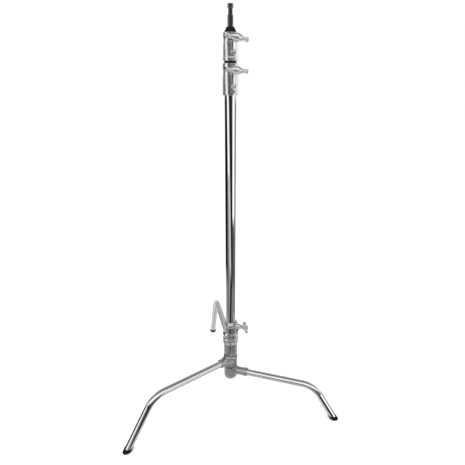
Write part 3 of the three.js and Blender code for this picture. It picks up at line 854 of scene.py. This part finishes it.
bottomLook = legs["bottom_leg"]
low, high = heights("bottom_hub")
barrel = spun([
    (bottomHubLook["bore"], low), (19.2, low), (22.4, low + 1.4), (24.1, low + 5),
    (bottomHubLook["radius"], low + 13),
    (bottomHubLook["radius"], high - 1.4), (23.9, high), (bottomHubLook["seatBore"], high),
    (bottomHubLook["seatBore"], bottomHubLook["seatHeight"]),
    (bottomHubLook["bore"], bottomHubLook["seatHeight"])], 128)
rivetTurn = Matrix.Rotation(math.radians(bottomHubLook["rivetAzimuth"] - bottomLook["azimuth"]), 4, "Z")
rivetHeight = bottomHubLook["rivetHeight"]
seat = moved(alongX(lathed([(0, 19.5), (6.3, 19.5), (6, 25.4), (5.4, 25.7), (3.4, 25.7), (3.4, 22), (0, 22)],
    40), rivetHeight), rivetTurn)
web = slab(bottomHubLook["web"], bottomHubLook["webDepth"], 5)
hub = welded(barrel, [socketShape(bottomLook, 19.6), web, seat], [
    legBore(bottomLook, 22), pinHole(bottomLook)])
finish(castSkin(hub, hubSkin["voxel"], hubSkin["rounds"]), "bottom_hub", facing(bottomLook["azimuth"]),
    sharpAngle=180)
finish(asObject(moved(alongX(rounded(lathed([
    (0, 21), (3.0, 21), (3.0, 24.6), (2.4, 25.2), (1.2, 25.1), (0.9, 24.5), (0, 24.4)], 32), 0.2),
    rivetHeight), rivetTurn)),
    "bottom_hub_rivet", facing(bottomLook["azimuth"]))

middleLook = legs["middle_leg"]
middleHubLook = {"bore": 18.1, "radius": 25.4, "webDepth": 26, "notchAzimuth": 265,
    "notchSize": (30, 24, 16),
                 "notchCentre": (33.6, 0, 148.6),
                 "web": [(15, 152), (36, 160), (44, 175), (36, 190), (15, 198)]}
low, high = heights("middle_hub")
barrel = spun([
    (middleHubLook["bore"], low), (24.8, low), (middleHubLook["radius"], low + 1),
    (middleHubLook["radius"], 172),
    (26.5, 186), (26.8, 195.5), (25.8, 199), (23, high), (middleHubLook["bore"], high)], 128)
web = slab(middleHubLook["web"], middleHubLook["webDepth"], 6)
notchTurn = Matrix.Rotation(math.radians(middleHubLook["notchAzimuth"] - middleLook["azimuth"]), 4, "Z")
notch = moved(block(middleHubLook["notchSize"], middleHubLook["notchCentre"]), notchTurn)
hub = welded(barrel, [socketShape(middleLook, 19.6), web], [
    legBore(middleLook, 22), pinHole(middleLook), notch,
    lathed([(0, 140), (middleHubLook["bore"], 140), (middleHubLook["bore"], 210), (0, 210)], 128)])
finish(castSkin(hub, hubSkin["voxel"], hubSkin["rounds"]), "middle_hub", facing(middleLook["azimuth"]),
    sharpAngle=180)

cupLook = {"radius": 25.0, "inner": 21.3, "bore": 17.9, "shelf": 221, "slit": 2.2, "slitFrom": 224,
    "slitAzimuth": 270,
           "screwAzimuth": 256, "screwHeight": 214}
low, high = heights("spring_cup")
cup = spun([
    (cupLook["bore"], low), (21.8, low), (23.8, low + 3.2), (cupLook["radius"], 216),
    (cupLook["radius"], high),
    (cupLook["inner"], high), (cupLook["inner"], cupLook["shelf"]), (cupLook["bore"], cupLook["shelf"])],
    128)
rounded(cup, 0.7, 3, 20)
turnToScrew = Matrix.Rotation(math.radians(cupLook["screwAzimuth"]), 4, "Z")
turnToSlit = Matrix.Rotation(math.radians(cupLook["slitAzimuth"]), 4, "Z")
finish(welded(cup, [], [
    moved(block((12, cupLook["slit"], 40), (24, 0, cupLook["slitFrom"] + 20)), turnToSlit),
    moved(alongX(lathed([(0, 17), (2.8, 17), (2.8, 30), (0, 30)], 32), cupLook["screwHeight"]),
    turnToScrew)]),
    "spring_cup", onColumn, sharpAngle=30)
socket = lathed([(0, 18.2), (2.5, 18.2), (2.5, 23.3), (2.2, 23.6), (1.5, 23.6), (1.5, 21.4), (0, 21.4)], 32)
finish(asObject(moved(alongX(socket, cupLook["screwHeight"]), turnToScrew)), "spring_cup_screw", onColumn)

low, high = heights("retaining_ring")
ring = spun([
    (17.9, low), (26.9, low), (28.0, low + 0.9), (28.3, low + 2.3), (27.9, low + 3.7), (26.3, low + 4.7),
    (26.0, low + 5.5), (27.2, low + 6.5), (27.6, low + 8), (26.8, low + 9.4), (24.8, high - 1.2),
    (22.5, high),
    (17.9, high)], 128)
rounded(ring, 0.5, 3, 40)
finish(welded(ring, [], [moved(block((30, cupLook["slit"], 30), (28, 0, 264)), turnToSlit)]),
    "retaining_ring", onColumn, sharpAngle=30)
print("hubs, spring cup and ring")


# ---- sliding collar

collarLook = {
    "azimuth": 340, "bolt": 332, "bossRoot": 19.5, "bossEnd": 42, "bossRadius": 8.0, "holeRadius": 4.4,
    "bar": 57, "tilt": 117, "tip": 21.9, "end": 52, "pitch": 1.25, "low": 272.3, "high": 343, "radius": 25,
    "bead": 28.6, "lip": 28.4, "groove": 26.2, "bore": 18.3, "linerBore": 20.7, "linerTop": 320.5,
    "clearance": 28.9,
    "rib": [(21.4, 334), (37, 327), (29, 308), (26.4, 294), (21.4, 292)],
    "bracket": [(21.5, 307), (26, 306), (48, 269), (48, 250), (21.5, 250)]}
slidingLook = legs["sliding_leg"]
boltTurn = Matrix.Rotation(math.radians(collarLook["azimuth"] - slidingLook["azimuth"]), 4, "Z")
low, high = collarLook["low"], collarLook["high"]
radius, bead, lip, groove = (collarLook[part] for part in ("radius", "bead", "lip", "groove"))
bore, linerBore, linerTop = (collarLook[part] for part in ("bore", "linerBore", "linerTop"))
barrel = spun([
    (linerBore, low), (26.4, low), (lip, low + 2), (lip, low + 6), (groove, low + 10), (groove, low + 19.5),
    (bead, low + 20.2), (bead, low + 27), (radius + 0.2, low + 34), (radius, high - 10),
    (radius + 1, high - 7), (radius + 1, high), (bore, high), (bore, linerTop), (linerBore, linerTop)], 144)
rounded(barrel, 0.9, 3, 12)
boss = moved(alongX(rounded(lathed([
    (0, 21.6), (11.5, 21.6), (10.4, 25.4), (9.4, 29), (8.6, 33), (8.1, 38), (8.0, 42), (4.4, 42), (4.4, 36),
    (0, 36)],
    56), 0.7, 3, 40), collarLook["bolt"]), boltTurn)
rib = moved(slab(collarLook["rib"], 6, 1.8), boltTurn)
bracket = slab(collarLook["bracket"], 24, 2.5)
clearance = lathed([(0, 220), (collarLook["clearance"], 220), (collarLook["clearance"], low), (0, low)], 128)
inside = lathed([(0, 220), (linerBore, 220), (linerBore, linerTop), (0, linerTop)], 128)
collar = welded(barrel, [boss, rib, bracket, socketShape(slidingLook, 26, 15.4, 16.0, 12)], [
    clearance, inside, pinHole(slidingLook),
    legBore(slidingLook, 31)])
finish(collar, "sliding_collar", facing(slidingLook["azimuth"]), sharpAngle=30)
lockParts("sliding_leg_lock", collarLook)
print("sliding collar")


# ---- studio

def grey(level):
    return (level, level, level)


def softBand(tree, source, low, high, soft):
    # 1 between low and high, fading to 0 on both sides
    rising = ranged(tree, source, low - soft, low, 0.0, 1.0)
    falling = ranged(tree, source, high, high + soft, 1.0, 0.0)
    return value(tree, "MULTIPLY", rising, falling)


# the room round the stand, as grey with a pale wall behind the stand
room = {"level": 0.25, "behindLevel": 0.85, "behindFrom": 115, "behindTo": 165}
# windows, panels and black flags that the chrome reflects, each laid over the ones before it
# azimuths are degrees from the side the stand is seen from, positive to the right
# heights are the upward part of the direction, and lean shifts the azimuths with it
cards = {
    "leftFlag": {"azimuth": (-125, -75), "height": (-0.43, -0.03), "soft": 15, "level": 0.0},
    "frontFlag": {"azimuth": (-15, 20), "height": (-0.45, -0.02), "soft": 14, "lean": -70, "level": 0.02},
    "leftWindow": {"azimuth": (-65, -45), "height": (-0.2, 0.3), "soft": 14, "lean": -100, "level": 1.25},
    "leftPanel": {"azimuth": (-60, -40), "height": (-0.44, -0.24), "soft": 14, "lean": -100, "level": 0.75},
    "rightWindow": {"azimuth": (52, 78), "height": (-0.31, -0.03), "soft": 14, "level": 1.5},
    "highFlag": {"azimuth": (-26, -16), "height": (0.0, 0.3), "soft": 8, "level": 0.0},
    "highPanel": {"azimuth": (88, 140), "height": (0.0, 0.3), "soft": 15, "level": 1.1},
    "rightDusk": {"azimuth": (50, 90), "height": (-0.47, -0.38), "soft": 12, "level": 0.1},
    "lowLeftPanel": {"azimuth": (-135, -85), "height": (-0.66, -0.5), "soft": 12, "level": 0.55},
    "lowLeftFlag": {"azimuth": (-68, -60), "height": (-0.54, -0.46), "soft": 12, "level": 0.0},
    "lowFrontPanel": {"azimuth": (-40, -18), "height": (-0.55, -0.49), "soft": 10, "level": 0.35},
    "lowFrontFlag": {"azimuth": (125, 150), "height": (-0.66, -0.49), "soft": 12, "lean": 250, "level": 0.0},
    "lowSideFlag": {"azimuth": (42, 60), "height": (-0.66, -0.59), "soft": 10, "level": 0.0},
    "lowSidePanel": {"azimuth": (98, 140), "height": (-0.66, -0.58), "soft": 14, "level": 0.65},
}
cardFade = 0.04
# the ceiling, by the angle from the side the stand is seen from, up and over to its far side
ceiling = {"level": 0.5, "cards": {
    "ceilingPanel": {"angle": (30, 50), "soft": 25, "level": 1.25},
    "ceilingFlag": {"angle": (95, 115), "soft": 15, "level": 0.15}}}
floorLevel = (0.74, 0.715, 0.73)
underLevel = (0.45, 0.45, 0.455)
underShare = 0.75
# the upward part of a direction at which floor, nearest floor and ceiling fade in
floorRange, underRange, overRange = (-0.71, -0.64), (-0.985, -0.955), (0.2, 0.42)

world = bpy.data.worlds.new("studio")
bpy.context.scene.world = world
world.use_nodes = True
tree = world.node_tree
tree.nodes.clear()
direction = tree.nodes.new("ShaderNodeSeparateXYZ")
link(tree, tree.nodes.new("ShaderNodeTexCoord").outputs["Generated"], direction.inputs[0])
eastward, northward, upward = direction.outputs
towards = value(tree, "MULTIPLY", northward, -1.0)
around = value(tree, "MULTIPLY", value(tree, "ARCTAN2", eastward, towards), 180 / math.pi)
behind = value(tree, "ABSOLUTE", around)
shine = ranged(tree, behind, room["behindFrom"], room["behindTo"], room["level"], room["behindLevel"])
overhead = value(tree, "MULTIPLY", value(tree, "ARCTAN2", upward, towards), 180 / math.pi)
over = grey(ceiling["level"])
for card in ceiling["cards"].values():
    over = mixed(tree, softBand(tree, overhead, *card["angle"], card["soft"]), over, grey(card["level"]))
for card in cards.values():
    azimuth = value(tree, "MULTIPLY_ADD", upward, -card.get("lean", 0), around)
    covered = value(tree, "MULTIPLY", softBand(tree, azimuth, *card["azimuth"], card["soft"]),
                    softBand(tree, upward, *card["height"], cardFade))
    shine = mixed(tree, covered, shine, grey(card["level"]))
shine = mixed(tree, ranged(tree, upward, *floorRange, 1.0, 0.0), shine, floorLevel)
shine = mixed(tree, ranged(tree, upward, *underRange, underShare, 0.0), shine, underLevel)
shine = mixed(tree, ranged(tree, upward, *overRange, 0.0, 1.0), shine, over)
paths = tree.nodes.new("ShaderNodeLightPath").outputs
colour = mixed(tree, paths["Is Glossy Ray"], (0.92, 0.93, 0.95), shine)
colour = mixed(tree, paths["Is Camera Ray"], colour, (1.0, 1.0, 1.0))
backdrop = tree.nodes.new("ShaderNodeBackground")
link(tree, colour, backdrop.inputs["Color"])
output = tree.nodes.new("ShaderNodeOutputWorld")
link(tree, backdrop.outputs[0], output.inputs["Surface"])

floorLook = {"size": 30.0, "drop": 0.0005, "colour": (0.93, 0.93, 0.93), "second": (0.90, 0.90, 0.90),
    "glow": 0.22}
floorMesh = bmesh.new()
bmesh.ops.create_grid(floorMesh, x_segments=2, y_segments=2, size=floorLook["size"] / 2)
floor = asObject(moved(floorMesh, Matrix.Translation((0, 0, -floorLook["drop"]))), "studioFloor")
floorMaterial, tree, shader, vector = newMaterial("paleFloor", {"Roughness": 0.9, "Specular IOR Level": 0.1})
link(tree, mixed(tree, noise(tree, vector, 3.0), floorLook["colour"], floorLook["second"]),
    shader.inputs["Base Color"])
shader.inputs["Emission Color"].default_value = (1, 1, 1, 1)
shader.inputs["Emission Strength"].default_value = floorLook["glow"]
floor.data.materials.append(floorMaterial)
floor.visible_glossy = False
floor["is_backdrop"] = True

lights = [
    {"name": "keySoftbox", "at": (-1.6, -1.5, 2.4), "size": 1.4, "power": 14},
    {"name": "fillSoftbox", "at": (1.8, -1.2, 2.0), "size": 1.6, "power": 10},
    {"name": "topSoftbox", "at": (0.0, 0.6, 3.0), "size": 2.2, "power": 22},
]
for light in lights:
    data = bpy.data.lights.new(light["name"], "AREA")
    data.shape, data.size, data.energy = "SQUARE", light["size"], light["power"]
    lamp = bpy.data.objects.new(light["name"], data)
    lamp.location = light["at"]
    lamp.rotation_euler = (Vector((0, 0, 0.5)) - Vector(light["at"])).to_track_quat("-Z", "Y").to_euler()
    lamp.visible_glossy = False
    bpy.context.scene.collection.objects.link(lamp)

view = {"right": 0.0066, "back": 1.148, "height": 1.1375, "tiltDown": 21.086, "roll": 0.08, "lens": 28.65}
cameraData = bpy.data.cameras.new("viewCamera")
cameraData.lens, cameraData.sensor_width = view["lens"], 36
cameraData.clip_start, cameraData.clip_end = 0.02, 60
camera = bpy.data.objects.new("viewCamera", cameraData)
camera.matrix_world = (Matrix.Translation((axisX + view["right"], axisY - view["back"], view["height"]))
                       @ Matrix.Rotation(math.radians(90 - view["tiltDown"]), 4, "X")
                       @ Matrix.Rotation(math.radians(view["roll"]), 4, "Z"))
bpy.context.scene.collection.objects.link(camera)
bpy.context.scene.camera = camera
bpy.context.scene.view_settings.view_transform = "Standard"
print("studio and camera")

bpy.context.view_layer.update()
meshes = [piece.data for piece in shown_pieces() if piece.type == "MESH"]
print("triangles:", sum(len(mesh.loop_triangles) or len(mesh.polygons) for mesh in meshes))
